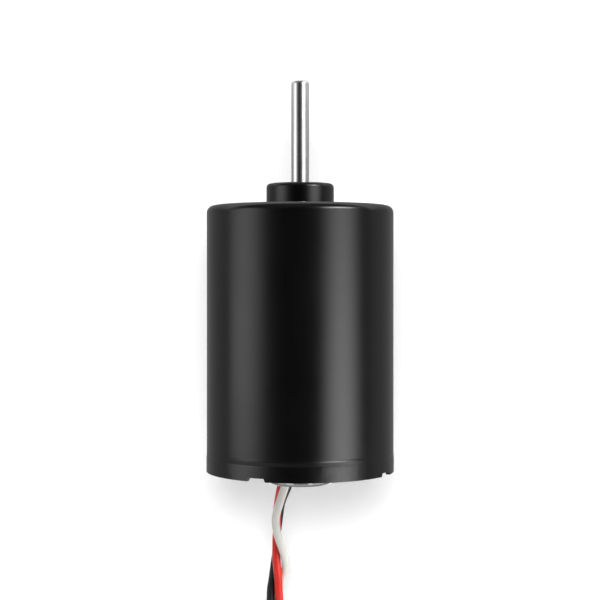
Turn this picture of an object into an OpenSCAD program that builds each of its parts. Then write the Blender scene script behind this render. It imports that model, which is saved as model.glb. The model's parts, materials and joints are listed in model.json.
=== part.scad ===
// Brushless DC motor of the 42 mm class: a drawn steel can, an inner rotor and three flying leads.
// The origin is the centre of the front mounting face. +Z runs out along the output shaft.

/* [Can] */
// Outer diameter of the can
can_d = 42; // [40:0.5:50]
// Length of the can from the front face to the rim
can_l = 59.5; // [58:0.5:80]
// Thickness of the can's wall
can_wall = 1.1; // [0.9:0.05:1.4]
// Thickness of the can's front face
face_t = 1.6; // [1.2:0.1:2.4]
// Radius of the can's front edge
can_edge_r = 1.6; // [1.3:0.1:2.6]
// Height of the wider skirt at the can's open end
skirt_h = 3.1; // [2.6:0.1:4]
// How far the skirt stands out from the wall
skirt_step = 0.08; // [0.04:0.01:0.2]
// Height of the slope between the wall and the skirt
skirt_ramp_h = 1.3; // [0.6:0.1:2]

/* [Rim] */
// Number of notches around the rim
notch_n = 4; // [2:1:6]
// Width of a rim notch at its mouth
notch_w = 4.3; // [2:0.1:5]
// Depth of a rim notch
notch_h = 0.75; // [0.5:0.05:1.2]
// Angle of the first notch from the front of the picture
notch_angle = -26.6; // [-45:0.1:45]
// Depth of the rear cap below the rim
cap_recess = 2.15; // [1.8:0.05:3]
// How far each stake leans over the rear cap
stake_reach = 0.7; // [0.4:0.05:1]
// Width of a stake
stake_w = 4; // [2:0.25:6]

/* [Front mounting] */
// Diameter of the front bearing boss
boss_d = 15.2; // [15:0.1:17]
// Height of the front bearing boss
boss_h = 5; // [4:0.1:7]
// Thickness of the lip that holds the bearing in the boss
boss_lip_t = 1; // [0.6:0.1:1.6]
// Diameter of the hole in the boss's end
boss_hole_d = 9.6; // [8.4:0.1:10.4]
// Radius of the boss's top edge
boss_edge_r = 0.9; // [0.4:0.1:1.4]
// Radius of the corner between the boss and the face
boss_root_r = 0.4; // [0.2:0.05:0.8]
// Number of mounting screws
screw_n = 4; // [2:1:6]
// Diameter of the circle that the mounting screws lie on
screw_circle_d = 25; // [23:0.5:29]
// Core diameter of the screw threads
screw_core_d = 2.5; // [2:0.1:3.3]
// Diameter of the collar behind each screw hole
screw_collar_d = 4.4; // [4:0.1:5]
// Height of the collar behind each screw hole
screw_collar_h = 1.4; // [0.8:0.1:2]

/* [Rear cap] */
// Thickness of the rear cap
cap_t = 1.5; // [1.2:0.1:2]
// Diameter of the rear bearing boss
rear_boss_d = 15.2; // [15:0.1:17]
// Height of the rear bearing boss
rear_boss_h = 5; // [4.6:0.1:7]
// Diameter of the hole at the shaft's rear end
rear_hole_d = 6.4; // [5:0.1:8]
// Width of the shoulder that the rear cap sits on
cap_seat_w = 0.25; // [0.15:0.05:0.4]

/* [Shaft] */
// Diameter of the shaft
shaft_d = 4; // [3:0.1:5]
// Length of the shaft beyond the front face
shaft_out_l = 28.2; // [20:0.1:40]
// Radius of the shaft's front edge
shaft_tip_r = 0.7; // [0.2:0.1:1]
// Chamfer of the shaft's rear end
shaft_end_chamfer = 0.4; // [0.2:0.1:0.8]
// How far the shaft's rear end lies inside the rear boss's end
shaft_end_setback = 0.45; // [0.2:0.05:1]
// Width of the groove for the retaining clip
clip_groove_w = 0.64; // [0.6:0.02:0.8]
// Depth of the groove for the retaining clip
clip_groove_h = 0.4; // [0.2:0.05:0.5]
// Thickness of the retaining clip
clip_t = 0.6; // [0.4:0.02:0.6]
// Outer diameter of the retaining clip
clip_d = 7; // [6.4:0.1:8]

/* [Ball bearings] */
// Outer diameter of a bearing
bearing_d = 13; // [12.6:0.1:13]
// Width of a bearing
bearing_w = 5; // [4.6:0.1:5.4]
// Number of balls in a bearing
ball_n = 7; // [5:1:8]
// Diameter of a ball
ball_d = 2.38; // [2:0.02:2.5]
// Thickness of a bearing shield
shield_t = 0.25; // [0.15:0.05:0.4]
// Thickness of the ball cage's ribbon
cage_t = 0.26; // [0.2:0.02:0.34]
// Width of the ball cage's ribbon
cage_w = 0.8; // [0.5:0.05:1]
// Free height of the wave washer
washer_h = 0.4; // [0.3:0.05:0.6]
// Thickness of the wave washer
washer_t = 0.15; // [0.1:0.01:0.2]

/* [Rotor] */
// Air gap between the rotor and the stator's teeth
air_gap = 0.5; // [0.3:0.05:0.8]
// Thickness of the rotor sleeve
sleeve_t = 0.3; // [0.2:0.05:0.5]
// Thickness of a magnet
magnet_t = 2.5; // [1.5:0.1:3]
// How far the magnets reach past the stack at each end
magnet_overhang = 1; // [0:0.25:2]
// Number of magnet pairs
pole_pairs = 3; // [2:1:4]
// Angle between neighbouring magnets
magnet_gap_angle = 2; // [1:0.5:6]
// Thickness of a balance ring
balance_t = 2.5; // [1.5:0.1:3]
// Step from the rotor's outside in to a balance ring's
balance_inset = 1.3; // [0.5:0.1:2.5]
// Diameter of the balance drillings
balance_drill_d = 2; // [1:0.1:2.4]
// Outer diameter of the shaft spacers
spacer_d = 6; // [5.6:0.1:6.2]

/* [Stator] */
// Number of teeth
tooth_n = 9; // [6:3:9]
// Depth of a slot from the bore to the yoke
slot_h = 6.48; // [6:0.02:6.8]
// Distance of the stack from the front face
stack_setback = 11; // [10:0.5:14]
// Distance of the stack from the rim
stack_rear_setback = 18.5; // [18.5:0.5:24]
// Width of a tooth
tooth_w = 3.6; // [3:0.1:4]
// Thickness of the yoke behind the teeth
yoke_t = 2.8; // [2.2:0.1:3.2]
// Width of a slot's mouth
slot_mouth_w = 1.6; // [1:0.1:2]
// Thickness of a tooth's shoe at its tips
shoe_tip_t = 0.8; // [0.5:0.1:1]
// Thickness of a tooth's shoe at its root
shoe_root_t = 1.5; // [1.2:0.1:1.8]
// Thickness of a slot liner
liner_t = 0.2; // [0.1:0.05:0.25]

/* [Windings and insulators] */
// Thickness of one winding step
wind_step = 0.7; // [0.5:0.05:0.8]
// Gap between neighbouring coils
coil_gap = 0.5; // [0.3:0.05:0.8]
// Thickness of an end insulator's base
insulator_t = 1.2; // [0.8:0.1:1.6]
// Height of an end insulator's walls above the stack
insulator_h = 4.6; // [4.2:0.1:5]
// Thickness of an end insulator's walls
insulator_wall = 0.9; // [0.6:0.1:1]
// Diameter of a coil tail
tail_d = 0.7; // [0.4:0.05:0.9]

/* [Termination board] */
// Thickness of the termination board
board_t = 1.2; // [0.8:0.1:1.6]
// Distance of the board from the stack
board_setback = 9; // [8:0.1:10]
// Diameter of the hole in the board
board_hole_d = 13; // [12:0.5:16]
// Diameter of the solder joints
solder_d = 1.9; // [1.5:0.1:2.1]
// Height of the solder joints
solder_h = 0.7; // [0.4:0.1:0.9]

/* [Leads] */
// Outer diameter of a lead
lead_d = 1.9; // [1.6:0.05:2]
// Thickness of the grommet's flanges
grommet_flange_t = 0.7; // [0.5:0.05:1]
// How far the grommet's flanges stand out
grommet_flange_w = 0.8; // [0.5:0.05:1]
// Diameter of the grommet's body
grommet_d = 6.2; // [6:0.1:6.6]
// Length of a lead's stripped end
tip_l = 5; // [3:0.5:8]
// Diameter of a lead's stripped end
tip_d = 1; // [0.7:0.05:1.2]

/* [Hidden] */
$fn = 64;

// Overrun of every cut
cut = 0.4;
// Gap of a seat that is pressed or glued together
seat_gap = 0.01;
// Gap of a slip fit
slip_gap = 0.02;
// Gap between the balls and their races and cage
ball_gap = 0.02;
// Gap at the edge of a bearing shield
shield_gap = 0.15;
// Room between a winding and what it is wound over
wind_gap = 0.12;

// Can, rear cap and their seats
can_r = can_d / 2;
can_bore_r = can_r - can_wall;
can_inner_edge_r = max(can_edge_r - can_wall, cut);
skirt_r = can_r + skirt_step;
cap_seat_r = can_bore_r + cap_seat_w;
cap_r = cap_seat_r - slip_gap;
cap_face_z = cap_recess - can_l;
cap_inner_z = cap_face_z + cap_t;
stake_h = cap_recess - notch_h;
notch_slope_share = 0.08;
boss_r = boss_d / 2;
bearing_r = bearing_d / 2;
bearing_seat_r = bearing_r + seat_gap;
front_seat_z = boss_h - boss_lip_t;
front_bearing_z = front_seat_z - bearing_w / 2;
rear_boss_r = rear_boss_d / 2;
rear_boss_end_z = cap_face_z - rear_boss_h;
rear_seat_z = rear_boss_end_z + boss_lip_t;
rear_bearing_z = rear_seat_z + washer_h + bearing_w / 2;

// Shaft and its clip
shaft_r = shaft_d / 2;
shaft_bore_r = shaft_r + seat_gap;
shaft_end_z = rear_boss_end_z + shaft_end_setback;
clip_groove_r = shaft_r - clip_groove_h;
clip_groove_z = front_seat_z + (clip_groove_w - clip_t) / 2 + slip_gap;
clip_bore_r = clip_groove_r + slip_gap;
clip_relief_r = (clip_bore_r + clip_d / 2) / 2;
clip_mouth_share = 1.6;
clip_mouth_w = clip_groove_r * clip_mouth_share;
clip_prong_angles = [-90, 30, 150];
clip_prong_share = 0.75;
clip_prong_w = clip_groove_r * clip_prong_share;

// Parts of a bearing, measured from its centre
pitch_r = (shaft_r + bearing_r) / 2;
ball_r = ball_d / 2;
groove_r = ball_r + ball_gap;
land_share = 0.46;
inner_land_r = pitch_r - land_share * ball_d;
outer_land_r = pitch_r + land_share * ball_d;
shield_seat_z = bearing_w / 2 - shield_t * 2;
shield_r = (outer_land_r + bearing_r) / 2;
shield_bore_r = inner_land_r + shield_gap;
race_chamfer = shield_t;
washer_width_share = 1.2;
washer_in_r = bearing_r - (bearing_r - outer_land_r) * washer_width_share;
washer_out_r = bearing_r - shield_gap;
washer_waves = 3;
washer_steps = 48;

// Stator plan
stator_r = can_bore_r - slip_gap;
yoke_in_r = stator_r - yoke_t;
bore_r = yoke_in_r - slot_h;
stack_front_z = -stack_setback;
stack_rear_z = stack_rear_setback - can_l;
stack_l = stack_front_z - stack_rear_z;
stack_mid_z = (stack_front_z + stack_rear_z) / 2;
slot_pitch = 360 / tooth_n;
shoe_tip_r = bore_r + shoe_tip_t;
shoe_root_r = bore_r + shoe_root_t;
liner_gap = seat_gap * 2;

// Rotor stack, from front to rear
rotor_r = bore_r - air_gap;
magnet_r = rotor_r - sleeve_t - seat_gap;
core_r = magnet_r - magnet_t;
magnet_bore_r = core_r + seat_gap;
core_front_z = stack_front_z + magnet_overhang;
core_rear_z = stack_rear_z - magnet_overhang;
core_l = core_front_z - core_rear_z;
magnet_pitch = 180 / pole_pairs;
balance_r = rotor_r - balance_inset;
balance_drill_place_r = balance_r - balance_drill_d;
balance_drill_h = balance_t / 2;
balance_drill_angles = [20, 52];
front_race_end_z = front_bearing_z - bearing_w / 2;
rear_race_end_z = rear_bearing_z + bearing_w / 2;

// End insulators and windings
insulator_r = stator_r - insulator_wall;
insulator_bar_w = tooth_w + 2 * liner_t;
inner_wall_r = bore_r + insulator_wall / 2;
coil_start_r = max(inner_wall_r + insulator_wall, shoe_root_r) + wind_gap * 2;
outer_wall_r = yoke_in_r + wind_gap;
wind_limit_r = yoke_in_r - liner_gap - liner_t - wind_gap;
coil_full_steps = 3;
coil_hole_w = insulator_bar_w + 2 * wind_gap;
coil_hole_l = stack_l + 2 * (insulator_t + wind_gap);
coil_outer_start_share = 0.5;
coil_outer_start_r = coil_start_r + (wind_limit_r - coil_start_r) * coil_outer_start_share;
coil_corner_r = wind_step;
tail_place_r = wind_limit_r - tail_d;
tail_side = coil_hole_w / 2 + wind_step * coil_full_steps / 2;
post_n = 3;
post_d = insulator_wall * 2;
post_pin_d = insulator_wall;
post_pin_out = insulator_wall / 2;
post_place_r = outer_wall_r + insulator_wall / 2;

// Termination board
board_r = stator_r - insulator_wall;
board_front_z = stack_rear_z - board_setback;
board_rear_z = board_front_z - board_t;
board_hole_gap = 0.1;

// Grommet, between the rear boss and the can's wall on the far side
grommet_r = grommet_d / 2;
grommet_hole_r = grommet_r + slip_gap;
grommet_flange_r = grommet_r + grommet_flange_w;
grommet_room = can_bore_r - rear_boss_r - boss_root_r - 2 * grommet_flange_r;
grommet_place_share = 0.25;
grommet_x = -2;
grommet_y = rear_boss_r + boss_root_r + grommet_flange_r + grommet_room * grommet_place_share;
grommet_outer_z = cap_face_z - grommet_flange_t;
grommet_l = cap_t + 2 * grommet_flange_t;
lead_r = lead_d / 2;
lead_bore_r = lead_r + slip_gap;
lead_sides = 8;

// Routes of the leads, measured from the middle of the grommet's outer face
white_route = [
  [0, -1.4, 0], [-0.3, -1.5, -3],
  [-1.6, -1.7, -7], [-2.9, -1.7, -11], [-3.7, -1.7, -14], [-3.5, -1.7, -17],
  [-2.6, -1.6, -20], [-1.7, -0.6, -23], [-1.4, 0.7, -26], [-2.1, 2.1, -29],
  [-2.9, 2.6, -32], [-3.6, 2.7, -37], [-4.1, 2.3, -42], [-4.3, 1.5, -47],
  [-4, 0.9, -52], [-3.7, 0.3, -57], [-3.3, -0.1, -62], [-3, -0.5, -67],
  [-2.7, -0.9, -72], [-2.4, -1.3, -77], [-2.1, -1.7, -82], [-1.9, -2, -87],
  [-1.8, -2.2, -92], [-1.8, -2.2, -97]
];
red_route = [
  [-1.2, 0.7, 0], [-1.6, 0.6, -3],
  [-2.5, 0.3, -7], [-3.2, 0.3, -11], [-3.5, 0.3, -14], [-3.5, 0.3, -17],
  [-3.6, 0.3, -20], [-3.6, 0.3, -23], [-3.4, 0.2, -26], [-3.1, 0.2, -29],
  [-3, 0.4, -32], [-2.6, 0.7, -37], [-2.1, 1.3, -42], [-2.2, 1.9, -47],
  [-2, 1.9, -52], [-2.1, 1.8, -57], [-2.2, 1.8, -62], [-2.1, 1.8, -67],
  [-2.1, 1.9, -72], [-2.2, 2.1, -77], [-2.3, 2.3, -82], [-2.4, 2.5, -87],
  [-2.5, 2.6, -92], [-2.5, 2.6, -97]
];
black_route = [
  [1.2, 0.7, 0], [0.7, 0.9, -3],
  [-0.8, 1.5, -7], [-2.4, 2.2, -11], [-2.9, 2.3, -14], [-3.3, 2.3, -17],
  [-3.6, 2.3, -20], [-3.7, 2.3, -23], [-4.1, 2.2, -26], [-4.5, 1.9, -29],
  [-4.9, 1.5, -32], [-4.8, 0.7, -37], [-4, 0, -42], [-2.9, -0.3, -47],
  [-2.2, -0.4, -52], [-1.6, -0.4, -57], [-1.1, -0.2, -62], [-0.6, -0.1, -67],
  [-0.1, 0, -72], [0.4, 0.1, -77], [0.8, 0.2, -82], [1.1, 0.3, -87],
  [1.3, 0.3, -92], [1.3, 0.3, -97]
];
lead_routes = [white_route, red_route, black_route];
grommet_place = [grommet_x, grommet_y, grommet_outer_z];

// Half outline of a round post that stands on zero and has a rounded top edge
module rounded_post(r, h, edge) {
  square([r - edge, h]);
  square([r, h - edge]);
  translate([r - edge, h - edge]) circle(r = edge);
}

// Rectangle about the origin with rounded corners
module rounded_plate(w, h, corner) {
  square([w - 2 * corner, h], center = true);
  square([w, h - 2 * corner], center = true);
  for (x = [-1, 1], y = [-1, 1]) {
    translate([x * (w / 2 - corner), y * (h / 2 - corner)]) circle(r = corner);
  }
}

// Ring that stands on zero
module ring(outer_r, inner_r, h) {
  difference() {
    cylinder(r = outer_r, h = h);
    translate([0, 0, -cut]) cylinder(r = inner_r, h = h + 2 * cut);
  }
}

// Half outline of the can's outside, with its boss, skirt and the corner under the boss
module can_outline() {
  translate([0, -can_l]) rounded_post(can_r, can_l, can_edge_r);
  translate([0, -can_l]) square([skirt_r, skirt_h]);
  translate([0, -can_l + skirt_h]) {
    polygon([[0, 0], [skirt_r, 0], [can_r, skirt_ramp_h], [0, skirt_ramp_h]]);
  }
  rounded_post(boss_r, boss_h, boss_edge_r);
  difference() {
    square([boss_r + boss_root_r, boss_root_r]);
    translate([boss_r + boss_root_r, boss_root_r]) circle(r = boss_root_r);
  }
}

// Half outline of the space inside the can
module can_inside_outline() {
  translate([0, -can_l - cut]) {
    rounded_post(can_bore_r, can_l + cut - face_t, can_inner_edge_r);
    square([cap_seat_r, cut + cap_recess + cap_t]);
  }
  translate([0, -face_t - cut]) square([bearing_seat_r, front_seat_z + face_t + cut]);
  square([boss_hole_d / 2, boss_h + cut]);
}

module rim_notch() {
  slope = notch_w * notch_slope_share;
  rotate([90, 0, 0]) {
    linear_extrude(can_r + can_wall) {
      polygon([
        [-notch_w / 2, -cut], [notch_w / 2, -cut], [notch_w / 2, 0],
        [notch_w / 2 - slope, notch_h], [slope - notch_w / 2, notch_h], [-notch_w / 2, 0]
      ]);
    }
  }
}

// Wedge of wall metal that leans over the edge of the rear cap
module stake() {
  intersection() {
    translate([0, 0, -can_l + notch_h]) {
      rotate_extrude() {
        polygon([
          [cap_seat_r - stake_reach, stake_h], [cap_seat_r + cut, stake_h],
          [cap_seat_r + cut, 0], [cap_seat_r - slip_gap, 0]
        ]);
      }
    }
    translate([-stake_w / 2, -can_r, -can_l]) cube([stake_w, can_r, can_l]);
  }
}

module can() {
  color([0.05, 0.05, 0.055]) {
    difference() {
      union() {
        difference() {
          rotate_extrude($fn = 128) can_outline();
          rotate_extrude($fn = 128) can_inside_outline();
        }
        for (i = [0:screw_n - 1]) {
          rotate(45 + i * 360 / screw_n) {
            translate([screw_circle_d / 2, 0, -face_t - screw_collar_h]) {
              cylinder(d = screw_collar_d, h = screw_collar_h + face_t / 2);
            }
          }
        }
        for (i = [0:notch_n - 1]) {
          rotate(notch_angle + (i + 0.5) * 360 / notch_n) stake();
        }
      }
      for (i = [0:screw_n - 1]) {
        rotate(45 + i * 360 / screw_n) {
          translate([screw_circle_d / 2, 0, -face_t - screw_collar_h - cut]) {
            cylinder(d = screw_core_d, h = face_t + screw_collar_h + 2 * cut);
          }
        }
      }
      for (i = [0:notch_n - 1]) {
        rotate(notch_angle + i * 360 / notch_n) translate([0, 0, -can_l]) rim_notch();
      }
    }
  }
}

// Half outline of the rear cap, drawn with its outside up
module cap_outline() {
  square([cap_r, cap_t]);
  translate([0, cap_t]) {
    rounded_post(rear_boss_r, rear_boss_h, boss_edge_r);
    difference() {
      square([rear_boss_r + boss_root_r, boss_root_r]);
      translate([rear_boss_r + boss_root_r, boss_root_r]) circle(r = boss_root_r);
    }
  }
}

module rear_cap() {
  color([0.72, 0.73, 0.74]) {
    difference() {
      translate([0, 0, cap_inner_z]) {
        mirror([0, 0, 1]) {
          rotate_extrude($fn = 128) {
            difference() {
              cap_outline();
              translate([0, -cut]) {
                square([bearing_seat_r, cut + cap_t + rear_boss_h - boss_lip_t]);
                square([rear_hole_d / 2, 2 * cut + cap_t + rear_boss_h]);
              }
            }
          }
        }
      }
      translate([grommet_x, grommet_y, cap_face_z - cut]) {
        cylinder(r = grommet_hole_r, h = cap_t + 2 * cut);
      }
    }
  }
}

// Half outline of one side of a bearing's space for the shield
module shield_space() {
  translate([0, shield_seat_z]) square([shield_r + seat_gap, bearing_w]);
}

module bearing_outer_race() {
  color([0.75, 0.76, 0.78]) {
    rotate_extrude() {
      difference() {
        translate([0, -bearing_w / 2]) square([bearing_r, bearing_w]);
        translate([0, -bearing_w]) square([outer_land_r, 2 * bearing_w]);
        translate([pitch_r, 0]) circle(r = groove_r);
        shield_space();
        mirror([0, 1]) shield_space();
        for (side = [-1, 1]) {
          translate([bearing_r, side * bearing_w / 2]) {
            rotate(45) square(race_chamfer * sqrt(2), center = true);
          }
        }
      }
    }
  }
}

module bearing_inner_race() {
  color([0.75, 0.76, 0.78]) {
    rotate_extrude() {
      difference() {
        translate([shaft_bore_r, -bearing_w / 2]) {
          square([inner_land_r - shaft_bore_r, bearing_w]);
        }
        translate([pitch_r, 0]) circle(r = groove_r);
      }
    }
  }
}

module bearing_balls() {
  color([0.85, 0.86, 0.88]) {
    for (i = [0:ball_n - 1]) {
      rotate(i * 360 / ball_n) translate([pitch_r, 0, 0]) sphere(r = ball_r);
    }
  }
}

// Round bars that point out from the axis through every ball
module ball_bars(r) {
  for (i = [0:ball_n - 1]) {
    rotate([0, 90, i * 360 / ball_n]) {
      translate([0, 0, pitch_r - ball_r]) cylinder(r = r, h = ball_d);
    }
  }
}

// Ribbon that runs flat between the balls and arches over each of them
module bearing_cage() {
  color([0.62, 0.6, 0.55]) {
    difference() {
      union() {
        translate([0, 0, -cage_t]) {
          ring(pitch_r + cage_w / 2, pitch_r - cage_w / 2, 2 * cage_t);
        }
        intersection() {
          translate([0, 0, -bearing_w / 2]) {
            ring(pitch_r + cage_w / 2, pitch_r - cage_w / 2, bearing_w);
          }
          ball_bars(groove_r + cage_t);
        }
      }
      ball_bars(groove_r);
    }
  }
}

module bearing_shields() {
  color([0.8, 0.8, 0.82]) {
    for (side = [0, 1]) {
      mirror([0, 0, side]) {
        translate([0, 0, shield_seat_z]) ring(shield_r, shield_bore_r, shield_t);
      }
    }
  }
}

module at_front_bearing() {
  translate([0, 0, front_bearing_z]) children();
}

module at_rear_bearing() {
  translate([0, 0, rear_bearing_z]) children();
}

// Spring washer with crests and troughs in turn, swept around the axis
module wave_washer() {
  swing = (washer_h - washer_t) / 2 - seat_gap;
  points = [
    for (i = [0:washer_steps - 1])
      let (a = i * 360 / washer_steps, mid = swing * cos(washer_waves * a))
        for (corner = [
          [washer_in_r, -washer_t / 2], [washer_out_r, -washer_t / 2],
          [washer_out_r, washer_t / 2], [washer_in_r, washer_t / 2]
        ])
          [corner[0] * cos(a), corner[0] * sin(a), mid + corner[1]]
  ];
  faces = [
    for (i = [0:washer_steps - 1], k = [0:3])
      let (
        a = i * 4 + k, b = i * 4 + (k + 1) % 4, next = (i + 1) % washer_steps,
        c = next * 4 + (k + 1) % 4, d = next * 4 + k
      )
        for (face = [[a, b, c], [a, c, d]]) face
  ];
  color([0.7, 0.7, 0.68]) {
    translate([0, 0, rear_seat_z + washer_h / 2]) polyhedron(points, faces);
  }
}

module shaft() {
  color([0.82, 0.83, 0.84]) {
    rotate_extrude() {
      difference() {
        translate([0, shaft_end_z]) {
          rounded_post(shaft_r, shaft_out_l - shaft_end_z, shaft_tip_r);
        }
        translate([clip_groove_r, clip_groove_z]) square([shaft_r, clip_groove_w]);
        translate([shaft_r, shaft_end_z]) {
          rotate(45) square(shaft_end_chamfer * sqrt(2), center = true);
        }
      }
    }
  }
}

// Snap ring that grips the groove with three prongs and is open at one side
module retaining_clip() {
  color([0.3, 0.3, 0.31]) {
    translate([0, 0, clip_groove_z + (clip_groove_w - clip_t) / 2]) {
      linear_extrude(clip_t) {
        difference() {
          circle(d = clip_d);
          difference() {
            circle(r = clip_relief_r);
            for (a = clip_prong_angles) {
              rotate(a + 180) {
                translate([0, -clip_prong_w / 2]) square([clip_d / 2, clip_prong_w]);
              }
            }
          }
          circle(r = clip_bore_r);
          translate([-clip_mouth_w / 2, -clip_d]) square([clip_mouth_w, clip_d]);
        }
      }
    }
  }
}

module rotor_core() {
  color([0.5, 0.51, 0.53]) {
    translate([0, 0, core_rear_z]) ring(core_r, shaft_bore_r, core_l);
  }
}

module magnets(first) {
  for (i = [0:pole_pairs - 1]) {
    rotate((2 * i + first) * magnet_pitch + magnet_gap_angle / 2) {
      translate([0, 0, core_rear_z]) {
        rotate_extrude(angle = magnet_pitch - magnet_gap_angle) {
          translate([magnet_bore_r, 0]) square([magnet_r - magnet_bore_r, core_l]);
        }
      }
    }
  }
}

module north_magnets() {
  color([0.42, 0.43, 0.46]) magnets(0);
}

module south_magnets() {
  color([0.3, 0.31, 0.34]) magnets(1);
}

module rotor_sleeve() {
  color([0.15, 0.15, 0.16]) {
    translate([0, 0, core_rear_z]) ring(rotor_r, magnet_r + seat_gap, core_l);
  }
}

// Ring that stands on zero, with its balance drillings in the far face
module balance_ring() {
  color([0.78, 0.62, 0.28]) {
    difference() {
      ring(balance_r, shaft_bore_r, balance_t);
      for (a = balance_drill_angles) {
        rotate(a) {
          translate([balance_drill_place_r, 0, balance_t - balance_drill_h]) {
            cylinder(d = balance_drill_d, h = balance_drill_h + cut);
          }
        }
      }
    }
  }
}

module front_balance_ring() {
  translate([0, 0, core_front_z]) balance_ring();
}

module rear_balance_ring() {
  translate([0, 0, core_rear_z]) mirror([0, 0, 1]) balance_ring();
}

module front_spacer() {
  color([0.7, 0.71, 0.73]) {
    translate([0, 0, core_front_z + balance_t]) {
      ring(spacer_d / 2, shaft_bore_r, front_race_end_z - core_front_z - balance_t);
    }
  }
}

module rear_spacer() {
  color([0.7, 0.71, 0.73]) {
    translate([0, 0, rear_race_end_z]) {
      ring(spacer_d / 2, shaft_bore_r, core_rear_z - balance_t - rear_race_end_z);
    }
  }
}

// One sector of the shoes' outline, out from the axis
module shoe_sector(tip_r, root_r, root_w) {
  c = cos(slot_pitch / 2);
  s = sin(slot_pitch / 2);
  polygon([
    [0, 0], [tip_r * c, -tip_r * s], [root_r, -root_w / 2],
    [root_r, root_w / 2], [tip_r * c, tip_r * s]
  ]);
}

// Cuts along the middle of every slot
module slot_cuts(w, reach) {
  for (i = [0:tooth_n - 1]) {
    rotate((i + 0.5) * slot_pitch) translate([0, -w / 2]) square([reach, w]);
  }
}

module stator_core() {
  color([0.58, 0.6, 0.62]) {
    translate([0, 0, stack_rear_z]) {
      linear_extrude(stack_l) {
        difference() {
          union() {
            difference() {
              circle(r = stator_r, $fn = 128);
              circle(r = yoke_in_r, $fn = 128);
            }
            for (i = [0:tooth_n - 1]) {
              rotate(i * slot_pitch) {
                translate([0, -tooth_w / 2]) square([yoke_in_r + yoke_t / 2, tooth_w]);
                shoe_sector(shoe_tip_r, shoe_root_r, tooth_w);
              }
            }
          }
          circle(r = bore_r, $fn = 128);
          slot_cuts(slot_mouth_w, shoe_root_r + cut);
        }
      }
    }
  }
}

// Base and walls of an end insulator, standing on zero
module insulator() {
  linear_extrude(insulator_t) {
    difference() {
      union() {
        difference() {
          circle(r = insulator_r);
          circle(r = yoke_in_r);
        }
        for (i = [0:tooth_n - 1]) {
          rotate(i * slot_pitch) {
            translate([0, -insulator_bar_w / 2]) {
              square([yoke_in_r + insulator_wall, insulator_bar_w]);
            }
            shoe_sector(shoe_tip_r, shoe_root_r, insulator_bar_w);
          }
        }
      }
      circle(r = inner_wall_r);
      slot_cuts(slot_mouth_w + insulator_wall, shoe_root_r + cut);
    }
  }
  linear_extrude(insulator_h) {
    difference() {
      circle(r = inner_wall_r + insulator_wall);
      circle(r = inner_wall_r);
      slot_cuts(slot_mouth_w + insulator_wall, shoe_root_r + cut);
    }
    difference() {
      circle(r = outer_wall_r + insulator_wall);
      circle(r = outer_wall_r);
      slot_cuts(slot_mouth_w + insulator_wall * 2, stator_r);
    }
  }
}

module front_insulator() {
  color([0.9, 0.88, 0.8]) translate([0, 0, stack_front_z]) insulator();
}

// The rear insulator also carries the posts that hold the termination board
module rear_insulator() {
  color([0.9, 0.88, 0.8]) {
    translate([0, 0, stack_rear_z]) {
      mirror([0, 0, 1]) {
        insulator();
        for (i = [0:post_n - 1]) {
          rotate(i * 360 / post_n) {
            translate([post_place_r, 0, insulator_t / 2]) {
              cylinder(d = post_d, h = board_setback - insulator_t / 2);
              cylinder(d = post_pin_d, h = board_setback + board_t + post_pin_out - insulator_t / 2);
            }
          }
        }
      }
    }
  }
}

// Plan of the winding space of all slots, held off every wall by a margin
module slot_plan(margin) {
  difference() {
    circle(r = yoke_in_r - margin);
    circle(r = shoe_root_r + wind_gap);
    for (i = [0:tooth_n - 1]) {
      rotate(i * slot_pitch) {
        translate([0, -tooth_w / 2 - margin]) square([stator_r, tooth_w + 2 * margin]);
      }
    }
  }
}

module slot_liners() {
  color([0.93, 0.9, 0.75]) {
    translate([0, 0, stack_rear_z]) {
      linear_extrude(stack_l) {
        difference() {
          slot_plan(liner_gap);
          slot_plan(liner_gap + liner_t);
        }
      }
    }
  }
}

// Winding steps around a tooth that points along X, out to where their corners meet the yoke
module coil_band(inner_steps, steps, from_r) {
  inner = wind_step * inner_steps;
  outer = wind_step * steps;
  reach_r = sqrt(pow(wind_limit_r, 2) - pow(coil_hole_w / 2 + outer, 2));
  translate([from_r, 0, stack_mid_z]) {
    rotate([90, 0, 90]) {
      linear_extrude(reach_r - from_r) {
        difference() {
          rounded_plate(
            coil_hole_w + 2 * outer, coil_hole_l + 2 * outer, coil_corner_r + outer / 2
          );
          rounded_plate(
            coil_hole_w + 2 * inner, coil_hole_l + 2 * inner, coil_corner_r / 2 + inner / 2
          );
        }
      }
    }
  }
}

// Sector of one tooth, out to half the gap to the neighbouring coils
module coil_sector() {
  slope = tan(slot_pitch / 2);
  linear_extrude(2 * coil_hole_l, center = true) {
    polygon([
      [bore_r, coil_gap / 2 - bore_r * slope], [stator_r, coil_gap / 2 - stator_r * slope],
      [stator_r, stator_r * slope - coil_gap / 2], [bore_r, bore_r * slope - coil_gap / 2]
    ]);
  }
}

module tooth_coil() {
  intersection() {
    union() {
      coil_band(0, coil_full_steps, coil_start_r);
      coil_band(coil_full_steps - 1, coil_full_steps + 1, coil_outer_start_r);
    }
    translate([0, 0, stack_mid_z]) coil_sector();
  }
  for (side = [-1, 1]) {
    translate([tail_place_r, side * tail_side, board_rear_z]) {
      cylinder(d = tail_d, h = stack_mid_z - coil_hole_l / 2 - wind_step - board_rear_z);
    }
  }
}

module phase_coils(first) {
  color([0.72, 0.36, 0.16]) {
    for (i = [0:tooth_n / 3 - 1]) rotate((first + 3 * i) * slot_pitch) tooth_coil();
  }
}

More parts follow.
